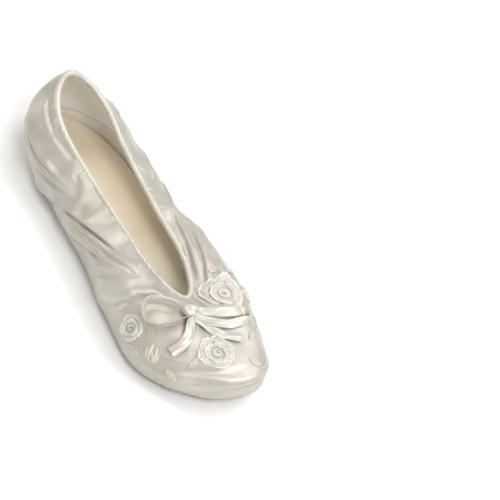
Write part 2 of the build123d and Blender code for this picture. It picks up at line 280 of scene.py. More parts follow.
def path_distance(u, t, path):
    """Signed distance in mm from a path of (u, t) points, and how far along it each point lies."""
    middle = path[len(path) // 2][0]
    x = station_gap(u, middle) * girth(t)
    y = t * WALL_LENGTH
    corners = [(station_gap(a, middle) * girth(b), b * WALL_LENGTH) for a, b in path]
    best = np.full(u.shape, 1e9)
    side, along = np.zeros(u.shape), np.zeros(u.shape)
    count = len(path) - 1
    for k in range(count):
        (x0, y0), (x1, y1) = corners[k], corners[k + 1]
        dx, dy = x1 - x0, y1 - y0
        part = np.clip(((x - x0) * dx + (y - y0) * dy) / (dx * dx + dy * dy), 0.0, 1.0)
        gx, gy = x - x0 - part * dx, y - y0 - part * dy
        gap = np.hypot(gx, gy)
        nearer = gap < best
        best = np.where(nearer, gap, best)
        side = np.where(nearer, np.sign(dx * gy - dy * gx), side)
        along = np.where(nearer, (k + part) / count, along)
    return best * side, along


def fold(u, t, path, height, soft, steep, lap):
    """A fold along a path: soft on its right, steep on its left, where lap tucks the cloth under."""
    gap, along = path_distance(u, t, path)
    taper = smooth(0.0, 0.25, along) * smooth(1.0, 0.75, along)
    width = np.where(gap > 0, steep, soft)
    ridge = np.exp(-((gap / width) ** 2))
    tuck = np.exp(-(((gap - 1.9 * steep) / (0.8 * steep)) ** 2))
    return taper * (height * ridge - lap * tuck)


def pleats(u, t, first, last, count, depth, reach, seed):
    """Small gathers that run down from the opening between two stations."""
    dice = np.random.default_rng(seed)
    total = np.zeros(u.shape)
    for k in range(count):
        middle = first + (last - first) * (k + 0.5 + dice.uniform(-0.35, 0.35)) / count
        size = depth * dice.uniform(0.45, 1.2)
        length = reach * dice.uniform(0.5, 1.3)
        slope = dice.uniform(-0.006, 0.006)
        width = (1.0 + 2.4 * (1 - t)) * dice.uniform(0.8, 1.2)
        gap = (station_gap(u, middle) - slope * (1 - t)) * girth(t)
        fade = np.exp(-(((1 - t) * WALL_LENGTH / length) ** 2))
        total += -size * fade * np.exp(-((gap / width) ** 2))
    return total


def ripple(u, t, waves, seed):
    """Soft random unevenness: waves holds (waves round, waves up, height)."""
    dice = np.random.default_rng(seed)
    total = np.zeros(u.shape)
    for around, up, height in waves:
        for _ in range(4):
            count = max(1, round(around * dice.uniform(0.6, 1.4)))
            rise = up * dice.uniform(-1.4, 1.4)
            turn = dice.uniform(0, TURN)
            total += 0.5 * height * np.sin(TURN * (count * u + rise * t) + turn)
    return total


# A row of folds is (path of (u, t) points, height, soft side, steep side, lap), in mm.
MAIN_CREASE = (
    (0.898, 0.03), (0.881, 0.07), (0.859, 0.14), (0.826, 0.31), (0.805, 0.42), (0.778, 0.53),
    (0.749, 0.63), (0.725, 0.7), (0.7, 0.78),
)
# the -X side
SIDE_FOLDS = (
    (MAIN_CREASE, 1.4, 7.0, 1.1, 2.6),
    (MAIN_CREASE, 0.8, 1.8, 0.9, 0.0),
    (((0.835, 0.92), (0.858, 0.86), (0.885, 0.82), (0.907, 0.81), (0.932, 0.82), (0.965, 0.84)),
     1.3, 5.0, 2.2, 0.9),
    (((0.955, 0.56), (0.933, 0.52), (0.915, 0.5), (0.891, 0.5), (0.857, 0.55), (0.815, 0.66)),
     1.8, 4.2, 1.6, 0.9),
    (((0.915, 0.26), (0.897, 0.32), (0.865, 0.42), (0.831, 0.54), (0.8, 0.66)), 1.4, 5.0, 1.6, 0.6),
    (((0.84, 0.06), (0.79, 0.2), (0.76, 0.34), (0.735, 0.46), (0.7, 0.58)), 1.8, 6.0, 1.4, 1.0),
    (((0.783, 0.44), (0.741, 0.56), (0.7, 0.68), (0.65, 0.84)), 1.4, 4.0, 1.3, 0.8),
    (((0.722, 0.34), (0.706, 0.48), (0.688, 0.63), (0.664, 0.84)), 2.6, 6.0, 2.2, 1.3),
    (((0.69, 0.16), (0.672, 0.34), (0.655, 0.52), (0.634, 0.68)), 1.5, 4.5, 1.4, 0.9),
    (((0.655, 0.46), (0.643, 0.64), (0.62, 0.8), (0.585, 0.88)), 2.3, 3.0, 1.1, 1.1),
    (((0.975, 0.86), (0.962, 0.66), (0.95, 0.46), (0.94, 0.3)), 1.3, 4.5, 1.4, 0.8),
    (((0.985, 0.5), (0.968, 0.34), (0.955, 0.2)), 0.7, 3.4, 1.3, 0.5),
)
# the +X side: the same cloth with folds of its own
FAR_SIDE_FOLDS = (
    (((0.205, 0.78), (0.165, 0.64), (0.13, 0.46), (0.1, 0.24), (0.08, 0.08)), 1.1, 1.4, 7.0, 0.6),
    (((0.17, 0.9), (0.13, 0.8), (0.09, 0.75), (0.045, 0.72)), 0.8, 1.6, 4.0, 0.4),
    (((0.26, 0.84), (0.225, 0.66), (0.195, 0.44), (0.16, 0.2)), 1.1, 1.4, 6.5, 0.6),
    (((0.31, 0.72), (0.28, 0.52), (0.245, 0.32), (0.215, 0.12)), 1.2, 1.6, 6.0, 0.7),
    (((0.24, 0.74), (0.275, 0.84), (0.313, 0.89), (0.348, 0.92), (0.412, 0.94)), 1.3, 2.4, 1.4, 0.8),
    (((0.268, 0.66), (0.319, 0.78), (0.361, 0.83), (0.415, 0.88)), 1.5, 2.6, 1.2, 0.8),
    (((0.28, 0.5), (0.32, 0.61), (0.348, 0.66), (0.392, 0.76)), 1.6, 3.6, 1.4, 0.8),
    (((0.345, 0.26), (0.37, 0.4), (0.395, 0.56)), 1.2, 3.8, 1.6, 0.5),
    (((0.03, 0.84), (0.042, 0.62), (0.052, 0.42), (0.066, 0.22), (0.074, 0.1)), 0.8, 1.4, 4.5, 0.6),
    (((0.012, 0.56), (0.026, 0.36), (0.04, 0.18)), 0.9, 1.3, 3.2, 0.5),
)
# over the toe, and up to the throat
VAMP_FOLDS = (
    (((0.64, 0.0), (0.585, 0.03), (0.547, 0.11), (0.53, 0.18), (0.511, 0.25), (0.485, 0.29),
      (0.455, 0.25), (0.435, 0.19)), 1.8, 4.5, 1.3, 0.9),
    (((0.61, 0.2), (0.587, 0.24), (0.566, 0.29), (0.543, 0.36), (0.52, 0.41), (0.496, 0.43),
      (0.465, 0.41)), -1.3, 3.2, 3.0, 0.0),
    (((0.585, 0.0), (0.553, 0.02), (0.526, 0.06), (0.504, 0.12), (0.479, 0.13), (0.45, 0.08)),
     1.3, 2.4, 1.0, 0.8),
    (((0.4, 0.46), (0.44, 0.62), (0.47, 0.78), (0.492, 0.92)), 1.0, 2.6, 1.2, 0.5),
    (((0.52, 0.92), (0.535, 0.76), (0.548, 0.58), (0.556, 0.46)), 1.0, 2.4, 1.2, 0.5),
    (((0.5, 0.9), (0.5, 0.74), (0.494, 0.6)), 0.7, 2.2, 1.5, 0.3),
)
# gathers under the binding: (first station, last station, how many, depth, reach down, seed)
GATHERS = (
    (-0.11, 0.11, 26, 0.85, 13.0, 11),
    (-0.1, 0.1, 9, 0.9, 34.0, 21),
    (0.11, 0.4, 44, 0.26, 6.0, 12),
    (0.4, 0.6, 24, 0.5, 11.0, 13),
    (0.6, 0.89, 44, 0.26, 6.0, 14),
)
UNEVENNESS = ((9, 0.6, 0.45), (22, 1.2, 0.2))
PUCKER_COUNT, PUCKER_DRIFT = 110, 7  # small puckers at the sole's edge, unevenly spaced
PUCKER_HEIGHT, PUCKER_HEIGHT_AT_TOE = 0.12, 0.22


def satin_relief(u, t):
    """How far the satin stands off its smooth shape, in mm."""
    relief = np.zeros(u.shape)
    for row in SIDE_FOLDS + FAR_SIDE_FOLDS + VAMP_FOLDS:
        relief += fold(u, t, *row)
    for row in GATHERS:
        relief += pleats(u, t, *row)
    relief += ripple(u, t, UNEVENNESS, 15)
    toe = smooth(0.26, 0.12, np.abs(u - 0.5))
    puckers = np.sin(TURN * PUCKER_COUNT * u + 2.0 * np.sin(TURN * PUCKER_DRIFT * u))
    relief += (PUCKER_HEIGHT + PUCKER_HEIGHT_AT_TOE * toe) * np.exp(-((t / 0.1) ** 2)) * puckers
    return relief


SEAM_DEPTH, SEAM_WIDTH = 0.9, 0.65
WELT_HEIGHT, WELT_PLACE, WELT_WIDTH = 0.45, 1.9, 1.2
STITCH_PITCH = 3.1


def back_seam(u, t):
    """The seam down the back of the heel, drawn in between two soft welts, in mm."""
    gap = np.abs(station_gap(u, 0.0)) * girth(t)
    tugs = 0.75 + 0.25 * np.sin(TURN * t * WALL_LENGTH / STITCH_PITCH)
    welts = WELT_HEIGHT * np.exp(-(((gap - WELT_PLACE) / WELT_WIDTH) ** 2)) * tugs
    return welts - SEAM_DEPTH * np.exp(-((gap / SEAM_WIDTH) ** 2))


SATIN_EASE = 0.35  # the satin stands this far off the smooth shape on average
DEEPEST, HIGHEST = 0.6, 4.2


def settle_relief(relief, u, t):
    """Keeps the satin off the lining, and flat at the sole's edge and under the binding."""
    relief = relief + SATIN_EASE
    relief = np.where(relief < 0, -DEEPEST * (1 - np.exp(relief / DEEPEST)), relief)
    relief = np.where(relief > 0, HIGHEST * np.tanh(relief / HIGHEST), relief)
    hem = smooth(0.0, 0.08, t) * smooth(1.0, 0.97, t)
    return relief * (0.15 + 0.85 * hem) + back_seam(u, t) * hem


SIM_SCALE = 10.0  # the solver is steadier on a larger copy
SIM_U, SIM_T = 240, 34
SIM_FRAMES = 24
SIM_GROWTH = 0.024  # the satin is cut larger than the shape that it is gathered to
CREASE_SHARE, CREASE_LOSS_AT_TOE = 0.55, 0.3  # less where thread work holds the satin flat
CLOTH_SETTINGS = {
    "quality": 6,
    "mass": 0.15,
    "tension_stiffness": 20,
    "compression_stiffness": 20,
    "shear_stiffness": 8,
    "bending_stiffness": 4.0,
    "shrink_min": -SIM_GROWTH,
}


def simulated_creases():
    """How far a cloth solver buckles the oversize satin, in mm, held at the sole and the elastic."""
    u, t = round_grid(SIM_U, SIM_T)
    base = upper_points(u, t)
    normals = grid_normals(base, closed=True)
    start = base + MM * settle_relief(satin_relief(u, t), u, t)[..., None] * normals
    mesh = bpy.data.meshes.new("satin_trial")
    mesh.from_pydata(
        [tuple(v) for v in (start * SIM_SCALE).reshape(-1, 3)], [], grid_faces(SIM_U, SIM_T, True)
    )
    trial = add_object("satin_trial", mesh)
    held = trial.vertex_groups.new(name="held")
    hold = np.clip(1 - np.minimum(t / 0.06, (1 - t) / 0.05), 0, 1).ravel()
    for index in np.nonzero(hold)[0]:
        held.add([int(index)], float(hold[index]), "REPLACE")
    cloth = trial.modifiers.new("cloth", "CLOTH")
    cloth.settings.vertex_group_mass = "held"
    for name, value in CLOTH_SETTINGS.items():
        setattr(cloth.settings, name, value)
    cloth.settings.effector_weights.gravity = 0
    cloth.collision_settings.use_collision = False
    cloth.point_cache.frame_start = 1
    cloth.point_cache.frame_end = SIM_FRAMES
    for number in range(1, SIM_FRAMES + 1):
        bpy.context.scene.frame_set(number)
    settled = trial.evaluated_get(bpy.context.evaluated_depsgraph_get())
    places = np.empty(SIM_U * SIM_T * 3)
    settled.to_mesh().vertices.foreach_get("co", places)
    moved = places.reshape(SIM_U, SIM_T, 3) / SIM_SCALE - start
    bpy.data.objects.remove(trial)
    bpy.context.scene.frame_set(1)
    return np.sum(moved * normals, axis=-1) / MM


def satin_grid():
    """The wrinkled outer face of the satin and its normals."""
    u, t = round_grid(GRID_U, GRID_T)
    points = upper_points(u, t)
    relief = satin_relief(u, t)
    worked = smooth(0.2, 0.1, np.abs(u - 0.5)) * smooth(0.15, 0.3, t)
    creases = catmull_rom(simulated_creases(), np.arange(GRID_U) * SIM_U / GRID_U, wrap=True)
    creases = catmull_rom(creases.T, np.linspace(0, SIM_T - 1, GRID_T)).T
    relief += creases * (CREASE_SHARE - CREASE_LOSS_AT_TOE * worked)
    relief = settle_relief(relief, u, t)
    points = points + MM * relief[..., None] * grid_normals(points, closed=True)
    return points, grid_normals(points, closed=True)


SATIN_POINTS, SATIN_NORMALS = satin_grid()


def on_satin(u, t, lift):
    """Points on the wrinkled satin at stations u and places t, lifted off it by lift mm."""
    nu, nt = SATIN_POINTS.shape[:2]
    x, y = (np.asarray(u, float) % 1.0) * nu, np.clip(t, 0.0, 0.9999) * (nt - 1)
    i, j = np.floor(x).astype(int), np.floor(y).astype(int)
    a, b = (x - i)[..., None], (y - j)[..., None]
    i, i2, j2 = i % nu, (i + 1) % nu, j + 1
    blended = []
    for field in (SATIN_POINTS, SATIN_NORMALS):
        low = field[i, j] * (1 - a) + field[i2, j] * a
        high = field[i, j2] * (1 - a) + field[i2, j2] * a
        blended.append(low * (1 - b) + high * b)
    return blended[0] + MM * lift[..., None] * blended[1]


# ---- meshes
def new_piece(name, vertices, faces, material, cloth):
    """A mesh object. cloth holds one (along, across) place in metres per vertex, for the weave."""
    mesh = bpy.data.meshes.new(name)
    mesh.from_pydata([tuple(v) for v in vertices], [], [tuple(f) for f in faces])
    mesh.validate()
    layer = mesh.uv_layers.new(name="cloth")
    index = np.empty(len(mesh.loops), int)
    mesh.loops.foreach_get("vertex_index", index)
    layer.data.foreach_set("uv", np.asarray(cloth, np.float32)[index].ravel())
    mesh.materials.append(material)
    mesh.polygons.foreach_set("use_smooth", [True] * len(mesh.polygons))
    return add_object(name, mesh)


def shell_piece(name, outer, inner, closed, material, cloth):
    """A thin closed shell between two grids of the same size."""
    nu, nt = outer.shape[:2]
    count = nu * nt
    faces = grid_faces(nu, nt, closed) + grid_faces(nu, nt, closed, flip=True, start=count)
    edges = []
    for i in range(nu if closed else nu - 1):
        a, b = i * nt, (i + 1) % nu * nt
        edges += [(a, b), (b + nt - 1, a + nt - 1)]
    if not closed:
        last = count - nt
        edges += [(j + 1, j) for j in range(nt - 1)]
        edges += [(last + j, last + j + 1) for j in range(nt - 1)]
    faces += [(a, b, b + count, a + count) for a, b in edges]
    vertices = np.concatenate([outer.reshape(-1, 3), inner.reshape(-1, 3)])
    return new_piece(name, vertices, faces, material, np.concatenate([cloth.reshape(-1, 2)] * 2))


def tube_piece(name, rings, material, cloth, closed=False):
    """A tube through rings of points; open ends are capped."""
    nu, nt = rings.shape[:2]
    faces = []
    for i in range(nu if closed else nu - 1):
        for j in range(nt):
            a, b = i * nt, (i + 1) % nu * nt
            faces.append((a + j, a + (j + 1) % nt, b + (j + 1) % nt, b + j))
    if not closed:
        faces.append(tuple(range(nt))[::-1])
        faces.append(tuple((nu - 1) * nt + j for j in range(nt)))
    return new_piece(name, rings.reshape(-1, 3), faces, material, cloth.reshape(-1, 2))


# ---- materials
WAVE_SCALE = 0.314  # times one over the pitch gives the wave texture's scale


def principled(material):
    """The material's shader node."""
    return material.node_tree.nodes["Principled BSDF"]


def link(material, output, target):
    """Wires an output socket to an input socket."""
    material.node_tree.links.new(output, target)


def set_sockets(node, **values):
    """Sets a node's input sockets, named with _ for each space."""
    for socket, value in values.items():
        node.inputs[socket.replace("_", " ")].default_value = value


def new_material(name, colour, roughness, **values):
    """A node material whose shader sockets hold its steady values."""
    material = bpy.data.materials.new(name)
    material.use_nodes = True
    shader = principled(material)
    set_sockets(shader, Base_Color=(*colour, 1.0), Roughness=roughness, **values)
    return material


def add_node(material, kind, place=None, **values):
    """A node with its input sockets set, fed with the given place."""
    node = material.node_tree.nodes.new(kind)
    set_sockets(node, **values)
    if place is not None:
        link(material, place, node.inputs["Vector"])
    return node


def stretched(material, source, stretch):
    """Coordinates scaled by stretch."""
    return add_node(material, "ShaderNodeMapping", source, Scale=stretch).outputs["Vector"]


def object_place(material, stretch=(1.0, 1.0, 1.0)):
    """Object coordinates in metres, scaled by stretch."""
    source = add_node(material, "ShaderNodeTexCoord")
    return stretched(material, source.outputs["Object"], stretch)


def cloth_place(material, stretch=(1.0, 1.0, 1.0)):
    """Places on the cloth in metres, along its length and across it, scaled by stretch."""
    source = add_node(material, "ShaderNodeUVMap")
    source.uv_map = "cloth"
    return stretched(material, source.outputs["UV"], stretch)


def noise_height(material, place, scale, detail=4.0):
    """Noise with so many lumps in a metre."""
    return add_node(material, "ShaderNodeTexNoise", place, Scale=scale, Detail=detail).outputs["Fac"]


def mottle(material, place, scale, dark, light):
    """Base colour that drifts between two tones."""
    ramp = add_node(material, "ShaderNodeValToRGB")
    for element, position, tone in zip(ramp.color_ramp.elements, (0.3, 0.7), (dark, light)):
        element.position = position
        element.color = (*tone, 1.0)
    link(material, noise_height(material, place, scale, 5.0), ramp.inputs["Fac"])
    link(material, ramp.outputs["Color"], principled(material).inputs["Base Color"])


def vary_roughness(material, place, scale, low, high):
    """Roughness that drifts between two values."""
    span = add_node(material, "ShaderNodeMapRange", To_Min=low, To_Max=high)
    link(material, noise_height(material, place, scale, 3.0), span.inputs["Value"])
    link(material, span.outputs["Result"], principled(material).inputs["Roughness"])


def stack_bumps(material, *bumps):
    """Chains bumps, each (height socket, distance in mm, strength), into the shader's normal."""
    target = principled(material).inputs["Normal"]
    for height, distance, strength in reversed(bumps):
        bump = add_node(material, "ShaderNodeBump", Distance=distance * MM, Strength=strength)
        link(material, height, bump.inputs["Height"])
        link(material, bump.outputs["Normal"], target)
        target = bump.inputs["Normal"]


def threads(material, place, pitch, across=False):
    """Fine parallel threads, one each pitch mm."""
    scale = WAVE_SCALE / (pitch * MM)
    wave = add_node(material, "ShaderNodeTexWave", place, Scale=scale, Distortion=0.6, Detail=1.0)
    wave.bands_direction = "Y" if across else "X"
    return wave.outputs["Fac"]


def satin_material(name, dark, light, roughness, weave=0.28):
    """Ivory satin: floating threads give long soft highlights across the weave."""
    material = new_material(
        name, light, roughness, Metallic=0.3, Anisotropic=0.65, Sheen_Weight=0.15,
        Sheen_Roughness=0.4, Specular_IOR_Level=0.65,
    )
    cloth = cloth_place(material)
    mottle(material, object_place(material), 38.0, dark, light)
    vary_roughness(material, object_place(material), 60.0, roughness - 0.05, roughness + 0.07)
    slubs = noise_height(material, cloth_place(material, (90.0, 1500.0, 1.0)), 1.0, 3.0)
    creases = noise_height(material, object_place(material), 230.0, 3.0)
    stack_bumps(
        material,
        (threads(material, cloth, weave), 0.03, 0.35),
        (threads(material, cloth, weave * 1.7, across=True), 0.02, 0.25),
        (slubs, 0.05, 0.35),
        (creases, 0.35, 0.3),
    )
    tangent = add_node(material, "ShaderNodeTangent")
    tangent.direction_type = "UV_MAP"
    tangent.uv_map = "cloth"
    link(material, tangent.outputs["Tangent"], principled(material).inputs["Tangent"])
    return material


def woven_material(name, dark, light, roughness, pitch):
    """Plain or twill cloth with visible threads both ways."""
    material = new_material(name, light, roughness, Sheen_Weight=0.3, Sheen_Roughness=0.5)
    place = object_place(material)
    mottle(material, place, 90.0, dark, light)
    twill = object_place(material, (1.0, 1.0, 0.6))
    stack_bumps(
        material,
        (threads(material, twill, pitch), 0.06, 0.5),
        (threads(material, place, pitch, across=True), 0.06, 0.5),
        (noise_height(material, place, 900.0), 0.08, 0.4),
    )
    return material


def grain_material(name, dark, light, roughness, scale, depth, creases=0.0):
    """Leather, suede, board or foam: cells of grain, soft staining and creases from wear."""
    material = new_material(name, light, roughness, Sheen_Weight=0.12)
    place = object_place(material)
    mottle(material, place, 26.0, dark, light)
    vary_roughness(material, place, 120.0, roughness - 0.06, roughness + 0.08)
    cells = add_node(material, "ShaderNodeTexVoronoi", place, Scale=scale).outputs["Distance"]
    along = object_place(material, (1.0, 0.35, 1.0))
    stack_bumps(
        material,
        (cells, depth, 0.5),
        (noise_height(material, place, scale * 2.3), depth, 0.5),
        (noise_height(material, along, 90.0, 3.0), creases, 0.6),
    )
    return material


def thread_material(name, dark, light):
    """Shiny embroidery thread: tight twisted strands."""
    material = new_material(name, light, 0.42, Sheen_Weight=0.25, Anisotropic=0.3)
    mottle(material, object_place(material), 160.0, dark, light)
    strands = threads(material, cloth_place(material), 0.32)
    fibres = noise_height(material, object_place(material), 1400.0)
    stack_bumps(material, (strands, 0.1, 0.8), (fibres, 0.06, 0.5))
    return material


def cad_thread_material(name, dark, light):
    """Sewing thread for the stitches, which carry no cloth places."""
    material = new_material(name, light, 0.5, Sheen_Weight=0.3)
    place = object_place(material)
    mottle(material, place, 200.0, dark, light)
    stack_bumps(material, (noise_height(material, place, 2500.0), 0.05, 0.6))
    return material


SATIN = satin_material("satin_cloth", (0.445, 0.412, 0.358), (0.565, 0.533, 0.482), 0.38)
TRIM = satin_material("satin_trim_cloth", (0.57, 0.535, 0.47), (0.69, 0.66, 0.595), 0.42, 0.22)
RIBBON = satin_material("ribbon_cloth", (0.52, 0.49, 0.435), (0.64, 0.612, 0.557), 0.34, 0.18)
THREAD_IVORY = thread_material("rose_thread", (0.52, 0.485, 0.42), (0.7, 0.67, 0.605))
THREAD_PALE = thread_material("rose_edge_thread", (0.74, 0.71, 0.65), (0.9, 0.875, 0.82))
THREAD_SAGE = thread_material("leaf_thread", (0.5, 0.495, 0.405), (0.64, 0.63, 0.54))
THREAD_BLUSH = thread_material("bud_thread", (0.64, 0.55, 0.48), (0.78, 0.7, 0.63))
LINING = woven_material("lining_cloth", (0.8, 0.75, 0.66), (0.88, 0.84, 0.77), 0.75, 0.5)
HEEL_PATCH = woven_material("heel_patch_cloth", (0.86, 0.83, 0.79), (0.93, 0.91, 0.88), 0.8, 0.4)
BACKING = woven_material("backing_cloth", (0.66, 0.64, 0.6), (0.78, 0.76, 0.72), 0.85, 0.4)
INSOLE = grain_material("sock_leather", (0.8, 0.7, 0.54), (0.88, 0.79, 0.64), 0.55, 900.0, 0.06, 1.6)
SUEDE = grain_material("outsole_suede", (0.33, 0.27, 0.2), (0.46, 0.39, 0.3), 0.9, 1400.0, 0.18)
BOARD = grain_material("fibre_board", (0.3, 0.23, 0.16), (0.42, 0.34, 0.25), 0.85, 700.0, 0.1)
FOAM = grain_material("latex_foam", (0.62, 0.59, 0.52), (0.74, 0.71, 0.64), 0.9, 800.0, 0.25)
FELT = grain_material("pressed_felt", (0.25, 0.23, 0.2), (0.36, 0.33, 0.29), 0.95, 600.0, 0.25)
ELASTIC = cad_thread_material("elastic_cover", (0.66, 0.65, 0.62), (0.8, 0.79, 0.76))
SEWING = cad_thread_material("sewing_thread", (0.62, 0.59, 0.52), (0.8, 0.77, 0.7))


# ---- pieces
def settle(piece, nodes):
    """The piece rides with the slipper and stands for its CAD nodes."""
    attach(piece, "root")
    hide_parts(*nodes)


def cloth_places(u, t):
    """(along, across) places in metres for a piece of the upper, the same on both sides."""
    return MM * np.stack([np.minimum(u, 1 - u) * FEATHER_LENGTH, t * WALL_LENGTH], -1)


def make_satin():
    """The wrinkled satin upper."""
    u, t = round_grid(GRID_U, GRID_T)
    inner = SATIN_POINTS - MM * SATIN_THICKNESS * SATIN_NORMALS
    places = cloth_places(u, t)
    piece = shell_piece("satin_upper_cloth", SATIN_POINTS, inner, True, SATIN, places)
    settle(piece, ["satin_upper"])


LINING_THICKNESS = 0.4
LINING_GATHERS = (-0.2, 0.8, 110, 0.5, 10.0, 31)


def make_lining():
    """The cotton lining, lightly gathered under the binding."""
    u, t = round_grid(520, 60, low=0.03)
    base = upper_points(u, t, LINING_DEPTH)
    normal = grid_normals(base, closed=True)
    relief = 0.6 * pleats(u, t, *LINING_GATHERS) - 0.5 * smooth(0.97, 0.6, t)
    base = base + MM * relief[..., None] * normal
    inner = base - MM * LINING_THICKNESS * normal
    piece = shell_piece("lining_cloth_piece", base, inner, True, LINING, cloth_places(u, t))
    settle(piece, ["upper_lining"])


PATCH_HALF, PATCH_LOW, PATCH_TOP = 0.115, 0.2, 0.94


def make_heel_patch():
    """The soft patch inside the heel, whose lower edge curves up at its ends."""
    stations, share = np.linspace(-PATCH_HALF, PATCH_HALF, 160), np.linspace(0.0, 1.0, 50)
    u, share = np.meshgrid(stations, share, indexing="ij")
    low = PATCH_LOW + 0.1 * (u / PATCH_HALF) ** 2
    t = low + share * (PATCH_TOP - low)
    outer = upper_points(u, t, LINING_DEPTH + 0.9)
    normal = grid_normals(outer, closed=False)
    edge = smooth(0.0, 0.03, t - low) * smooth(PATCH_HALF, PATCH_HALF - 0.007, np.abs(u))
    inner = outer - MM * (0.25 + 0.45 * edge)[..., None] * normal
    piece = shell_piece("heel_patch_piece", outer, inner, False, HEEL_PATCH, cloth_places(u, t))
    settle(piece, ["heel_grip"])


BINDING_WIDE, BINDING_TALL, BINDING_RISE = 1.75, 1.8, 0.45  # half sizes, and height past the rim
RIB_COUNT, RIB_WIDTH = 150, 0.0016
RIB_WIDE, RIB_TALL = 0.24, 0.28  # how deep the gaps between ribs are


def make_binding():
    """The gathered satin strip round the opening, thicker at the heel."""
    nu, nt = 1500, 20
    stations, angle = np.meshgrid(np.arange(nu) / nu, TURN * np.arange(nt) / nt, indexing="ij")
    u = stations[:, :1]
    dice = np.random.default_rng(5)
    ribs = np.zeros(u.shape)
    middles = np.cumsum(dice.uniform(0.7, 1.3, RIB_COUNT))
    for middle in middles / middles[-1]:
        ribs -= dice.uniform(0.5, 1.0) * np.exp(-((station_gap(u, middle) / RIB_WIDTH) ** 2))
    heel = 1 + 0.35 * np.exp(-((station_gap(u, 0.0) / 0.1) ** 2))
    ribs = ribs * heel**2
    wide = BINDING_WIDE * heel + RIB_WIDE * ribs * (0.6 + 0.4 * np.abs(np.cos(angle)))
    tall = BINDING_TALL * heel + RIB_TALL * ribs
    wander = 0.12 * np.sin(TURN * 23 * stations) * np.sin(TURN * 5 * stations)
    rings = rim_points(stations, wide * np.cos(angle) + wander, BINDING_RISE + tall * np.sin(angle))
    places = MM * np.stack([stations * RIM_LENGTH, angle * 1.6], -1)
    piece = tube_piece("topline_binding_cloth", rings, TRIM, places, closed=True)
    settle(piece, ["topline_binding"])


COVER_THICKNESS, COVER_SIDE_GAP, COVER_PLACE = 1.2, 2.3, 0.085
COVER_ROLL = 2.5  # how wide its rounded edge is
# (height, middle x, middle y, half width, half length) in mm, of the heel, the ball and the arch
COVER_HOLLOWS = ((-0.8, 0, 85, 20, 28), (-0.6, 0, -55, 26, 35), (0.9, 18, 10, 12, 30))


def make_insole():
    """Tan sock lining with a rolled edge, hollows under heel and ball, and a raised arch."""
    nu, nv = 240, 44
    u = np.linspace(0.0005, 0.4995, nu)
    t = np.full(nu, COVER_PLACE)
    near, far = (upper_points(side, t, LINING_DEPTH + COVER_SIDE_GAP) for side in (u, 1 - u))
    across = np.sin(np.linspace(-math.pi / 2, math.pi / 2, nv))
    share = (across[None, :, None] + 1) / 2
    top = near[:, None] * share + far[:, None] * (1 - share)
    reach = np.linalg.norm(near - far, axis=1)[:, None] / 2 * (1 - np.abs(across))[None, :]
    edge = np.clip(reach / (COVER_ROLL * MM), 0, 1)
    x, y = top[..., 0] / MM, top[..., 1] / MM
    rise = 1.1 * np.sqrt(1 - (1 - edge) ** 2) - 0.9
    for height, x0, y0, half_width, half_length in COVER_HOLLOWS:
        rise += height * np.exp(-(((x - x0) / half_width) ** 2) - ((y - y0) / half_length) ** 2)
    top[..., 2] = MM * (COVER_TOP + rise)
    bottom = top.copy()
    bottom[..., 2] = MM * (COVER_TOP - COVER_THICKNESS)
    piece = shell_piece("insole_cover_leather", top, bottom, False, INSOLE, top[..., :2])
    settle(piece, ["insole_cover"])


RIBBON_THICKNESS = 0.3


def ribbon_piece(name, path, across, widths, curl):
    """A ribbon along a path of points, lying across the given directions, in mm."""
    count, ribs = 90, 14
    q = np.linspace(0, len(path) - 1, count)
    middle, side = catmull_rom(path, q), catmull_rom(across, q)
    ahead = unit(np.gradient(middle, axis=0))
    side = unit(side - ahead * np.sum(side * ahead, axis=1, keepdims=True))
    face = np.cross(side, ahead)
    half = catmull_rom(np.array(widths, float)[:, None], q) / 2
    v = np.linspace(-1, 1, ribs)[None, :]
    dice = np.random.default_rng(len(name))
    crimp = 0.1 * np.sin(6.0 * v + 3.0 * np.sin(q[:, None] * 1.7 + dice.uniform(0, 6)))
    lift = curl * (1 - v * v) + crimp
    centre = middle[:, None] + side[:, None] * (v * half)[..., None]
    outer = MM * (centre + face[:, None] * lift[..., None])
    inner = outer - MM * RIBBON_THICKNESS * face[:, None]
    places = MM * np.stack(np.broadcast_arrays(run_along(middle)[:, None], v * half), -1)
    return shell_piece(name, outer, inner, False, RIBBON, places)


# ---- bow
KNOT_PLACE, KNOT_LIFT = (0.537, 0.87), 2.9
KNOT_SIZE = (4.6, 4.2, 3.0)


def bow_strip(node, places, widths, curl):
    """A ribbon through (u, t, lift, stand, turn) places over the satin.

    stand is 0 where it lies flat and 1 where it stands on edge. turn is the side its width runs to.
    """
    u, t, lift, stand, turn = (np.array(column, float) for column in zip(*places))
    path = on_satin(u, t, lift) / MM
    normal = (on_satin(u, t, lift + 1.0) - on_satin(u, t, lift)) / MM
    flat = np.cross(normal, unit(np.gradient(path, axis=0))) * turn[:, None]
    sides = stand[:, None] * normal + (1 - stand)[:, None] * flat
    settle(ribbon_piece(node + "_ribbon", path, sides, widths, curl), [node])


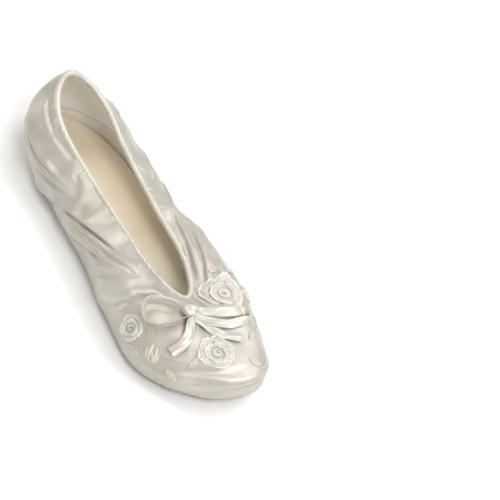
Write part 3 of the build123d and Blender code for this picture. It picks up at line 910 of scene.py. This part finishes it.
def make_bow():
    """The bow's two loops and two tails."""
    # the open left loop stands on its edge: out from the knot, round, and back underneath
    bow_strip(
        "bow_loop_left",
        ((0.537, 0.87, 3.4, 0.7, -1), (0.569, 0.82, 4.6, 0.8, -1), (0.594, 0.76, 5.6, 0.8, -1),
         (0.613, 0.69, 6.0, 0.8, -1), (0.62, 0.63, 5.4, 0.9, -1), (0.617, 0.57, 4.4, 1.0, -1),
         (0.607, 0.54, 3.6, 1.0, 1), (0.594, 0.57, 3.2, 0.8, -1), (0.579, 0.64, 3.0, 0.7, -1),
         (0.562, 0.73, 3.0, 0.7, -1), (0.54, 0.83, 3.0, 0.7, -1)),
        (3.4, 5.0, 5.6, 6.0, 6.0, 6.0, 6.0, 5.6, 5.0, 4.4, 3.4), 0.3,
    )
    # the right loop is pressed flat, with its upper ribbon over the lower one
    bow_strip(
        "bow_loop_right",
        ((0.533, 0.87, 3.6, 0.4, 1), (0.51, 0.88, 4.4, 0.3, 1), (0.487, 0.87, 4.6, 0.2, 1),
         (0.463, 0.8, 4.6, 0.2, 1), (0.444, 0.71, 4.0, 0.2, 1), (0.431, 0.61, 2.8, 0.5, 1),
         (0.436, 0.58, 1.5, 0.6, -1), (0.454, 0.67, 1.6, 0.2, -1), (0.474, 0.76, 2.0, 0.2, -1),
         (0.502, 0.84, 2.6, 0.3, -1), (0.53, 0.85, 3.0, 0.4, -1)),
        (3.2, 4.4, 5.0, 5.4, 5.4, 5.0, 5.0, 5.2, 5.0, 4.2, 3.0), 0.3,
    )
    bow_strip(
        "bow_tail_left",
        ((0.54, 0.83, 2.8, 0.1, 1), (0.546, 0.74, 2.2, 0, 1), (0.551, 0.65, 1.8, 0, 1),
         (0.558, 0.55, 1.7, 0, 1), (0.569, 0.44, 2.2, 0, 1)),
        (3.6, 5.6, 6.0, 6.0, 6.0), -0.6,
    )
    bow_strip(
        "bow_tail_right",
        ((0.533, 0.83, 2.2, 0.1, 1), (0.517, 0.81, 1.4, 0, 1), (0.502, 0.77, 1.0, 0, 1),
         (0.488, 0.71, 1.0, 0, 1), (0.474, 0.64, 1.6, 0, 1)),
        (3.4, 4.6, 5.0, 5.2, 5.2), -0.4,
    )


def make_knot():
    """A wrapped ribbon knot: a rounded body with soft folds running round it."""
    v, u = np.meshgrid(np.linspace(0.0, math.pi, 36)[1:-1], TURN * np.arange(48) / 48, indexing="ij")
    waist = 1.0 + 0.1 * np.cos(3 * u + 2.0 * v) + 0.05 * np.cos(7 * v + u)
    x = np.cos(v) * (1 + 0.05 * np.cos(2 * u))
    y = np.sin(v) ** 0.75 * np.cos(u) * waist
    z = np.sin(v) ** 0.75 * np.sin(u) * waist
    centre = on_satin(*(np.array([value]) for value in (*KNOT_PLACE, KNOT_LIFT)))[0]
    rings = centre + MM * np.array(KNOT_SIZE) * np.stack([x, y, z], -1)
    places = MM * np.stack([u * 2.6, v * 2.0], -1)
    piece = tube_piece("bow_knot_ribbon", rings, RIBBON, places)
    settle(piece, ["bow_knot"])


# ---- thread work
def drape(place, turn, local):
    """(a, b, lift) points in mm, laid on the satin round a (u, t) place and turned."""
    u0, t0 = place
    angle = math.radians(turn)
    a = local[..., 0] * math.cos(angle) - local[..., 1] * math.sin(angle)
    b = local[..., 0] * math.sin(angle) + local[..., 1] * math.cos(angle)
    step = 1e-3
    spot = upper_points(np.array([u0, u0 + step, u0]), np.array([t0, t0, t0 + step])) / MM
    along_u, along_t = (spot[1] - spot[0]) / step, (spot[2] - spot[0]) / step
    length_u = np.linalg.norm(along_u)
    skew = along_t @ along_u / length_u
    t_shift = b / math.sqrt(along_t @ along_t - skew**2)
    u_shift = (a - skew * t_shift) / length_u
    return on_satin(u0 + u_shift, np.clip(t0 + t_shift, 0.0, 0.999), local[..., 2])


def thread_roll(place, turn, path, radius, height, material):
    """A padded roll of satin stitch along a local path that thins out at its ends."""
    count, ring = len(path), 12
    ahead = unit(np.gradient(path, axis=0))
    side = np.stack([-ahead[:, 1], ahead[:, 0]], -1)
    part = np.linspace(0.0, 1.0, count)[:, None]
    swell = np.clip(np.sin(math.pi * part), 0.12, 1.0) ** 0.45
    angle = TURN * np.arange(ring)[None, :] / ring
    twist = 1 + 0.07 * np.cos(TURN * part * count / 3.0)
    wide = radius * swell * twist * np.cos(angle)
    tall = height * swell * twist * np.sin(angle)
    spots = path[:, None, :] + side[:, None, :] * wide[..., None]
    local = np.concatenate([spots, (0.2 * height + tall)[..., None]], -1)
    places = MM * np.stack(np.broadcast_arrays(run_along(path)[:, None], angle * radius), -1)
    return tube_piece("roll", drape(place, turn, local), material, places)


def join(pieces, name):
    """One piece made of many."""
    with bpy.context.temp_override(
        active_object=pieces[0], object=pieces[0], selected_editable_objects=pieces,
        selected_objects=pieces,
    ):
        bpy.ops.object.join()
    pieces[0].name = name
    pieces[0].data.name = name
    return pieces[0]


def crescent(middle, span):
    """A petal's line at radius 1, slightly scalloped, from middle - span to middle + span degrees."""
    part = np.linspace(-1.0, 1.0, 27)
    angle = np.radians(middle + span * part)
    radius = 1 - 0.16 * np.abs(part) ** 2.5 + 0.03 * np.cos(9 * part)
    return radius[:, None] * np.stack([np.cos(angle), np.sin(angle)], -1)


# (petals, how far out, half width, height, height of the cord round them): heights in mm, the
# others as shares of the rose's radius
PETALS = ((3, 0.48, 0.13, 0.95, 1.2), (5, 0.8, 0.16, 0.8, 1.05))
CORD_WIDTH = 0.055  # half, as a share of the rose's radius


def make_rose(node, place, radius, turn, heart):
    """A rose of padded crescents with corded edges round a coiled heart, no two petals the same."""
    dice = np.random.default_rng(len(node) * 7)
    coil = np.linspace(0.25, 1.0, 40)
    angle = TURN * 1.25 * coil
    swirl = np.stack([np.cos(angle), np.sin(angle)], -1) * (0.24 * radius * coil)[:, None]
    rolls = [thread_roll(place, turn, swirl, 0.12 * radius, 1.3, heart)]
    for ring, (count, reach, width, height, cord_height) in enumerate(PETALS):
        for k in range(count):
            middle = 360 * (k + 0.5 * ring + dice.uniform(-0.12, 0.12)) / count
            span = 180 / count * dice.uniform(1.0, 1.2)
            petal = crescent(middle, span)
            size = reach * radius * dice.uniform(0.94, 1.06)
            edge = size + 0.95 * width * radius
            for out, half, rise, thread in (
                (size, width * radius, height, THREAD_IVORY),
                (edge, CORD_WIDTH * radius, cord_height, THREAD_PALE),
            ):
                rolls.append(thread_roll(place, turn, out * petal, half, rise, thread))
    settle(join(rolls, node + "_threads"), [node])


# (u, t, turn in degrees, length in mm)
LEAVES = (
    (0.613, 0.225, 0, 8.5), (0.652, 0.42, 100, 8.0), (0.6, 0.5, 25, 8.0), (0.566, 0.22, 20, 8.5),
    (0.546, 0.42, 110, 8.0), (0.478, 0.44, 60, 8.5), (0.455, 0.55, 10, 8.0), (0.352, 0.56, 80, 8.0),
    (0.425, 0.52, 0, 8.0), (0.362, 0.76, 60, 8.5), (0.405, 0.36, 30, 8.0),
)
LEAF_WIDTH = 0.46  # of its length
# three (u, t) places on each curl
STEMS = (
    ((0.612, 0.28), (0.606, 0.24), (0.6, 0.2)),
    ((0.584, 0.18), (0.577, 0.16), (0.571, 0.17)),
    ((0.555, 0.2), (0.54, 0.21), (0.53, 0.28)),
    ((0.478, 0.36), (0.465, 0.33), (0.452, 0.38)),
    ((0.438, 0.5), (0.43, 0.44), (0.418, 0.42)),
)
STEM_SCALE = np.array([465.0, WALL_LENGTH])  # mm to one unit of u and of t, over the toe
STEM_RADIUS, STEM_HEIGHT = 0.5, 0.6


def make_leaves():
    """All the leaves, as one piece. A leaf is two padded halves with a vein between them."""
    rolls = []
    run = np.linspace(-0.5, 0.5, 24)
    for u, t, turn, length in LEAVES:
        width = LEAF_WIDTH * length
        for side in (-1, 1):
            bulge = side * width * 0.21 * np.cos(math.pi * run) + 0.06 * width * np.sin(4 * run)
            path = np.stack([run * length, bulge], -1)
            rolls.append(thread_roll((u, t), turn, path, width * 0.25, 0.8, THREAD_SAGE))
    settle(join(rolls, "leaf_threads"), ["embroidered_leaves"])


def make_stems():
    """All the stems, as one piece."""
    rolls = []
    q = np.linspace(0, 1, 30)[:, None]
    for places in STEMS:
        a, middle, c = (np.array(place) for place in places)
        b = 2 * middle - (a + c) / 2  # so that the curve passes through the middle place
        path = ((1 - q) ** 2 * a + 2 * (1 - q) * q * b + q * q * c - middle) * STEM_SCALE
        rolls.append(thread_roll(places[1], 0, path, STEM_RADIUS, STEM_HEIGHT, THREAD_SAGE))
    settle(join(rolls, "stem_threads"), ["embroidered_stems"])


# (lean in degrees, length, half width), the last two as shares of the bud's size
BUD_PETALS = (
    (-30, 1.3, 0.2), (30, 1.22, 0.2), (-9, 1.62, 0.17), (14, 1.5, 0.17), (2, 0.95, 0.15),
)


def make_bud(node, place, size, turn):
    """An opening bud: padded petals in a V that stand clear of each other over a green calyx."""
    rolls = []
    part = np.linspace(0.0, 1.0, 26)[:, None]
    for k, (lean, length, width) in enumerate(BUD_PETALS):
        angle = math.radians(90 + lean)
        outward = np.array([math.cos(angle), math.sin(angle)])
        sideways = np.array([-outward[1], outward[0]]) * math.copysign(1.0, lean)
        path = np.array([0.0, -0.62 * size]) + (0.12 + part * length) * size * outward
        path = path + sideways * size * 0.14 * (np.sin(math.pi * part) - 0.9 * part**2)
        thread = THREAD_BLUSH if k > 1 else THREAD_IVORY
        half, height = width * size, 0.95 + 0.08 * k
        rolls.append(thread_roll(place, turn, path, half, height, thread))
    for side in (-1, 1):
        path = np.array([0.0, -0.74]) * size + part * size * np.array([side * 0.36, 0.4])
        rolls.append(thread_roll(place, turn, path, 0.1 * size, 0.75, THREAD_SAGE))
    settle(join(rolls, node + "_threads"), [node])


def make_roses():
    """Three roses and two buds: (name, (u, t), size in mm, turn in degrees and heart)."""
    make_rose("rose_right_of_bow", (0.405, 0.735), 13.0, 20, THREAD_BLUSH)
    make_rose("rose_front", (0.517, 0.6), 10.6, 0, THREAD_IVORY)
    make_rose("rose_left", (0.625, 0.38), 7.4, 50, THREAD_IVORY)
    make_bud("rosebud_lower_left", (0.589, 0.3), 6.2, -8)
    make_bud("rosebud_right_side", (0.378, 0.4), 5.4, 20)


def finish_cad_nodes():
    """Better materials for the CAD pieces that stay as they are."""
    looks = {
        "outsole": SUEDE,
        "outsole_stitches": SEWING,
        "binding_stitches": SEWING,
        "bow_tack_thread": SEWING,
        "bottom_filler": FELT,
        "insole_board": BOARD,
        "insole_foam": FOAM,
        "vamp_backing": BACKING,
        "back_seam_tape": BACKING,
        "topline_elastic": ELASTIC,
    }
    for node, material in looks.items():
        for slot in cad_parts[node].material_slots:
            slot.material = material


# ---- stage, light and camera
CAMERA_PLACE = (-0.3277, -0.4535, 0.5568)
CAMERA_AZIMUTH = -42.8
CAMERA_ELEVATION = 43.3
CAMERA_ROLL = 18.3
CAMERA_LENS = 95.3
WHITE = (1.0, 1.0, 1.0)
WORLD_STRENGTH = 0.5
SUN_FROM, SUN_SPREAD, SUN_STRENGTH = (0.6, 0.05, 1.0), 45.0, 1.25
# (name, place in metres, size in metres, power in watts, colour)
LAMPS = (
    ("key", (0.45, -0.75, 0.8), 0.42, 2.7, WHITE),
    ("front", (-0.15, -0.85, 1.0), 0.38, 5.8, (0.97, 0.985, 1.0)),
    ("fill", (-0.9, -0.4, 0.55), 0.32, 1.5, (1.0, 0.93, 0.82)),
    ("rim", (-0.15, 0.6, 1.05), 0.34, 2.6, (1.0, 0.94, 0.84)),
)
LAMP_TARGET = Vector((0, 0, 0.02))
# the paper's glow rises between these strengths over these distances, in metres
GLOW = {"From_Min": 0.35, "From_Max": 1.6, "To_Min": 0.02, "To_Max": 0.3}


def make_camera():
    """The camera, which looks along its azimuth and elevation and is rolled about its axis."""
    data = bpy.data.cameras.new("camera")
    data.lens = CAMERA_LENS
    camera = add_object("camera", data)
    aim = Euler((math.radians(90 - CAMERA_ELEVATION), 0, math.radians(CAMERA_AZIMUTH)))
    roll = Matrix.Rotation(math.radians(CAMERA_ROLL), 4, "Z")
    camera.matrix_world = Matrix.Translation(CAMERA_PLACE) @ aim.to_matrix().to_4x4() @ roll
    bpy.context.scene.camera = camera


def make_lamp(name, place, size, power, colour):
    """A square lamp that faces the slipper."""
    data = bpy.data.lights.new(name, "AREA")
    data.shape = "SQUARE"
    data.size = size
    data.energy = power
    data.color = colour
    lamp = add_object(name, data)
    facing = (LAMP_TARGET - Vector(place)).to_track_quat("-Z", "Y")
    lamp.matrix_world = Matrix.Translation(place) @ facing.to_matrix().to_4x4()


def make_sun():
    """Broad soft daylight, as from a large window."""
    data = bpy.data.lights.new("window", "SUN")
    data.angle = math.radians(SUN_SPREAD)
    data.energy = SUN_STRENGTH
    sun = add_object("window", data)
    sun.matrix_world = Vector(SUN_FROM).to_track_quat("Z", "Y").to_matrix().to_4x4()


def floor_paper():
    """White paper that glows a little away from the slipper, where the lamps don't reach."""
    material = new_material(
        "floor_paper", (0.85, 0.85, 0.85), 0.9, Specular_IOR_Level=0.1, Emission_Color=(*WHITE, 1.0)
    )
    distance = add_node(material, "ShaderNodeVectorMath", object_place(material))
    distance.operation = "LENGTH"
    glow = add_node(material, "ShaderNodeMapRange", **GLOW)
    link(material, distance.outputs["Value"], glow.inputs["Value"])
    link(material, glow.outputs["Result"], principled(material).inputs["Emission Strength"])
    return material


def make_stage():
    """White paper under the slipper, the world round it and the lamps."""
    bpy.ops.mesh.primitive_plane_add(size=200.0, location=(0, 0, 0))
    floor = bpy.context.object
    floor.name = "floor"
    floor.data.materials.append(floor_paper())
    world = bpy.data.worlds.new("studio")
    world.use_nodes = True
    background = world.node_tree.nodes["Background"]
    set_sockets(background, Color=(*WHITE, 1.0), Strength=WORLD_STRENGTH)
    bpy.context.scene.world = world
    bpy.context.scene.view_settings.view_transform = "Standard"
    make_sun()
    for lamp in LAMPS:
        make_lamp(*lamp)


make_camera()
make_stage()
make_satin()
make_lining()
make_heel_patch()
make_binding()
make_insole()
make_bow()
make_knot()
make_roses()
make_leaves()
make_stems()
finish_cad_nodes()
